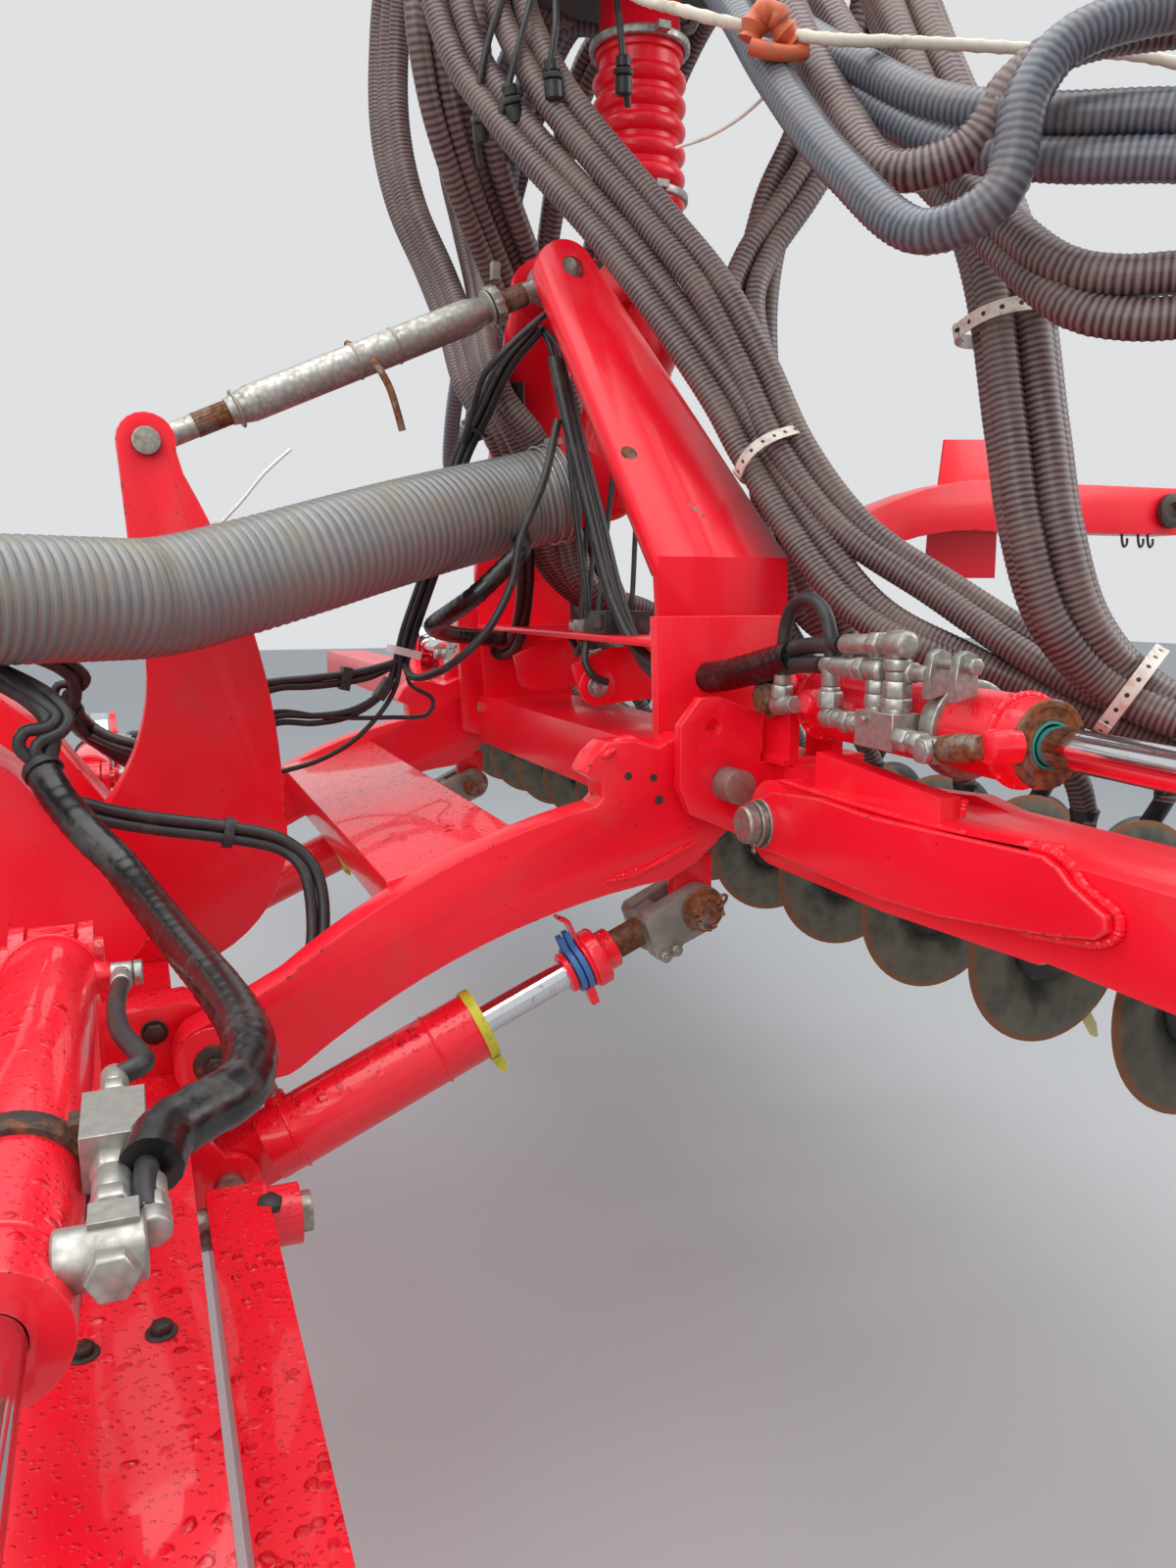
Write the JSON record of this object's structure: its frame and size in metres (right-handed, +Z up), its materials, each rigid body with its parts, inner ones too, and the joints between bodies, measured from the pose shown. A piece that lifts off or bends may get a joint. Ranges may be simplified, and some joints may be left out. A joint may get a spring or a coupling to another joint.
{
  "type": "seed drill coulter bar with lift linkage",
  "caption": "Folding coulter bar of a seed drill, raised on its parallel lift linkage, with seed tower, hoses, cylinders and the rear beam of the front section.",
  "frame": {"origin": "centre of the carrier's bolted front flange, on its front face", "axes": "+X to the rear along the machine, +Y to the machine's right, +Z up"},
  "size_m": [2.9951, 6, 2.17],
  "materials": {
    "red_paint": "gloss, rain-wet",
    "pin_steel": "weathered zinc plating",
    "link_steel": "weathered, rusty threads",
    "rod_chrome": "polished",
    "black_paint": "satin",
    "disc_steel": "worn, rusty rim",
    "press_rubber": "matte",
    "head_plastic": "matte",
    "air_hose_grey": "ribbed, satin",
    "seed_hose_brown": "ribbed, dusty"
  },
  "bodies": {
    "carrier": {"front_frame": "red_paint", "neck_struts": "red_paint", "mast": "red_paint", "mast_pin": "pin_steel", "side_rails": "red_paint", "front_pins": "pin_steel", "air_hose": "air_hose_grey"},
    "top_link": {"top_link": "link_steel"},
    "arms": {"lower_arm_left": "red_paint", "lower_arm_right": "red_paint", "arm_cross_tube": "red_paint"},
    "bar": {"centre_frame": "red_paint", "hitch_plates": "red_paint", "hitch_pins": "pin_steel", "tower": "red_paint", "tower_pin": "pin_steel", "rear_arch": "red_paint", "seed_riser": "red_paint", "distributor_head": "head_plastic", "terminal_shelf": "red_paint", "centre_coulters": "black_paint", "seed_hoses_centre": "seed_hose_brown", "seed_hoses_left": "seed_hose_brown", "seed_hoses_right": "seed_hose_brown"},
    "lift_barrel_left": {"lift_barrel_left": "red_paint"},
    "lift_rod_left": {"lift_rod_left": "rod_chrome"},
    "lift_barrel_right": {"lift_barrel_right": "red_paint"},
    "lift_rod_right": {"lift_rod_right": "rod_chrome"},
    "wing_left": {"wing_left": "red_paint", "wing_coulters_left": "black_paint"},
    "fold_barrel_left": {"fold_barrel_left": "red_paint"},
    "fold_rod_left": {"fold_rod_left": "rod_chrome"},
    "wing_right": {"wing_right": "red_paint", "wing_coulters_right": "black_paint"},
    "fold_barrel_right": {"fold_barrel_right": "red_paint"},
    "fold_rod_right": {"fold_rod_right": "rod_chrome"},
    "front_wing_left": {"front_wing_left": "red_paint"},
    "front_barrel_left": {"front_barrel_left": "red_paint"},
    "front_rod_left": {"front_rod_left": "rod_chrome"},
    "front_wing_right": {"front_wing_right": "red_paint"},
    "front_barrel_right": {"front_barrel_right": "red_paint"},
    "front_rod_right": {"front_rod_right": "rod_chrome"},
    "discs_centre_front": {"discs_centre_front": "disc_steel"},
    "press_centre_front": {"press_centre_front": "press_rubber"},
    "discs_centre_rear": {"discs_centre_rear": "disc_steel"},
    "press_centre_rear": {"press_centre_rear": "press_rubber"},
    "discs_left_front": {"discs_left_front": "disc_steel"},
    "press_left_front": {"press_left_front": "press_rubber"},
    "discs_left_rear": {"discs_left_rear": "disc_steel"},
    "press_left_rear": {"press_left_rear": "press_rubber"},
    "discs_right_front": {"discs_right_front": "disc_steel"},
    "press_right_front": {"press_right_front": "press_rubber"},
    "discs_right_rear": {"discs_right_rear": "disc_steel"},
    "press_right_rear": {"press_right_rear": "press_rubber"}
  },
  "joints": [
    {"name": "lift", "type": "hinge", "parent": "carrier", "child": "top_link", "pos_m": [0.645, 0, 0.845], "axis": [0, 1, 0], "range_deg": [0, 36], "deforming": ["air_hose"]},
    {"name": "bar_pitch", "type": "hinge", "parent": "top_link", "child": "bar", "pos_m": [1.375, 0, 1.17], "axis": [0, 1, 0], "range_deg": [-36, 0]},
    {"name": "arm_swing", "type": "hinge", "parent": "carrier", "child": "arms", "pos_m": [0.67, 0, 0], "axis": [0, 1, 0], "range_deg": [0, 36]},
    {"name": "lift_cylinder_left", "type": "hinge", "parent": "carrier", "child": "lift_barrel_left", "pos_m": [0.68, -0.615, -0.17], "axis": [0, 1, 0], "range_deg": [0, 36]},
    {"name": "lift_stroke_left", "type": "slide", "parent": "lift_barrel_left", "child": "lift_rod_left", "axis": [0.9146, 0, 0.4043], "range_m": [-0.11, 0]},
    {"name": "lift_cylinder_right", "type": "hinge", "parent": "carrier", "child": "lift_barrel_right", "pos_m": [0.68, 0.615, -0.17], "axis": [0, 1, 0], "range_deg": [0, 36]},
    {"name": "lift_stroke_right", "type": "slide", "parent": "lift_barrel_right", "child": "lift_rod_right", "axis": [0.9146, 0, 0.4043], "range_m": [-0.11, 0]},
    {"name": "fold_left", "type": "hinge", "parent": "bar", "child": "wing_left", "pos_m": [1.48, -0.8, 0.29], "axis": [-1, 0, 0], "range_deg": [0, 85], "deforming": ["seed_hoses_left"]},
    {"name": "fold_cylinder_left", "type": "hinge", "parent": "bar", "child": "fold_barrel_left", "pos_m": [1.515, -0.69, 0.45], "axis": [-1, 0, 0], "range_deg": [0, 86]},
    {"name": "fold_stroke_left", "type": "slide", "parent": "fold_barrel_left", "child": "fold_rod_left", "axis": [0, -0.9997, -0.025], "range_m": [-0.28, 0]},
    {"name": "fold_right", "type": "hinge", "parent": "bar", "child": "wing_right", "pos_m": [1.48, 0.8, 0.29], "axis": [1, 0, 0], "range_deg": [0, 85], "deforming": ["seed_hoses_right"]},
    {"name": "fold_cylinder_right", "type": "hinge", "parent": "bar", "child": "fold_barrel_right", "pos_m": [1.515, 0.69, 0.45], "axis": [1, 0, 0], "range_deg": [0, 86]},
    {"name": "fold_stroke_right", "type": "slide", "parent": "fold_barrel_right", "child": "fold_rod_right", "axis": [0, 0.9997, -0.025], "range_m": [-0.28, 0]},
    {"name": "front_fold_left", "type": "hinge", "parent": "carrier", "child": "front_wing_left", "pos_m": [0.681, -0.77, -0.165], "axis": [-1, 0, 0], "range_deg": [0, 60]},
    {"name": "front_cylinder_left", "type": "hinge", "parent": "carrier", "child": "front_barrel_left", "pos_m": [0.495, -0.7, 0.175], "axis": [-1, 0, 0], "range_deg": [0, 65]},
    {"name": "front_stroke_left", "type": "slide", "parent": "front_barrel_left", "child": "front_rod_left", "axis": [0, -0.9995, -0.033], "range_m": [-0.34, 0]},
    {"name": "front_fold_right", "type": "hinge", "parent": "carrier", "child": "front_wing_right", "pos_m": [0.681, 0.77, -0.165], "axis": [1, 0, 0], "range_deg": [0, 60]},
    {"name": "front_cylinder_right", "type": "hinge", "parent": "carrier", "child": "front_barrel_right", "pos_m": [0.495, 0.7, 0.175], "axis": [1, 0, 0], "range_deg": [0, 65]},
    {"name": "front_stroke_right", "type": "slide", "parent": "front_barrel_right", "child": "front_rod_right", "axis": [0, 0.9995, -0.033], "range_m": [-0.34, 0]},
    {"name": "discs_centre_front_turn", "type": "hinge", "parent": "bar", "child": "discs_centre_front", "pos_m": [2.01, 0, 0.01], "axis": [0, 1, 0], "continuous": true},
    {"name": "press_centre_front_turn", "type": "hinge", "parent": "bar", "child": "press_centre_front", "pos_m": [2.31, 0, -0.015], "axis": [0, 1, 0], "continuous": true},
    {"name": "discs_centre_rear_turn", "type": "hinge", "parent": "bar", "child": "discs_centre_rear", "pos_m": [2.36, 0, 0.01], "axis": [0, 1, 0], "continuous": true},
    {"name": "press_centre_rear_turn", "type": "hinge", "parent": "bar", "child": "press_centre_rear", "pos_m": [2.66, 0, -0.015], "axis": [0, 1, 0], "continuous": true},
    {"name": "discs_left_front_turn", "type": "hinge", "parent": "wing_left", "child": "discs_left_front", "pos_m": [2.01, -1.875, 0.01], "axis": [0, 1, 0], "continuous": true},
    {"name": "press_left_front_turn", "type": "hinge", "parent": "wing_left", "child": "press_left_front", "pos_m": [2.31, -1.875, -0.015], "axis": [0, 1, 0], "continuous": true},
    {"name": "discs_left_rear_turn", "type": "hinge", "parent": "wing_left", "child": "discs_left_rear", "pos_m": [2.36, -1.875, 0.01], "axis": [0, 1, 0], "continuous": true},
    {"name": "press_left_rear_turn", "type": "hinge", "parent": "wing_left", "child": "press_left_rear", "pos_m": [2.66, -1.875, -0.015], "axis": [0, 1, 0], "continuous": true},
    {"name": "discs_right_front_turn", "type": "hinge", "parent": "wing_right", "child": "discs_right_front", "pos_m": [2.01, 1.875, 0.01], "axis": [0, 1, 0], "continuous": true},
    {"name": "press_right_front_turn", "type": "hinge", "parent": "wing_right", "child": "press_right_front", "pos_m": [2.31, 1.875, -0.015], "axis": [0, 1, 0], "continuous": true},
    {"name": "discs_right_rear_turn", "type": "hinge", "parent": "wing_right", "child": "discs_right_rear", "pos_m": [2.36, 1.875, 0.01], "axis": [0, 1, 0], "continuous": true},
    {"name": "press_right_rear_turn", "type": "hinge", "parent": "wing_right", "child": "press_right_rear", "pos_m": [2.66, 1.875, -0.015], "axis": [0, 1, 0], "continuous": true}
  ],
  "couplings": [
    {"joint": "bar_pitch", "follows": "lift", "ratio": -1},
    {"joint": "arm_swing", "follows": "lift", "ratio": 1},
    {"joint": "lift_cylinder_left", "follows": "lift", "ratio": 0.977},
    {"joint": "lift_stroke_left", "follows": "lift", "m_per_rad": -0.1665},
    {"joint": "lift_cylinder_right", "follows": "lift", "ratio": 0.977},
    {"joint": "lift_stroke_right", "follows": "lift", "m_per_rad": -0.1665},
    {"joint": "fold_cylinder_left", "follows": "fold_left", "ratio": 1.004},
    {"joint": "fold_stroke_left", "follows": "fold_left", "m_per_rad": -0.178},
    {"joint": "fold_cylinder_right", "follows": "fold_right", "ratio": 1.004},
    {"joint": "fold_stroke_right", "follows": "fold_right", "m_per_rad": -0.178},
    {"joint": "front_cylinder_left", "follows": "front_fold_left", "ratio": 1.069},
    {"joint": "front_stroke_left", "follows": "front_fold_left", "m_per_rad": -0.322},
    {"joint": "front_cylinder_right", "follows": "front_fold_right", "ratio": 1.069},
    {"joint": "front_stroke_right", "follows": "front_fold_right", "m_per_rad": -0.322}
  ]
}
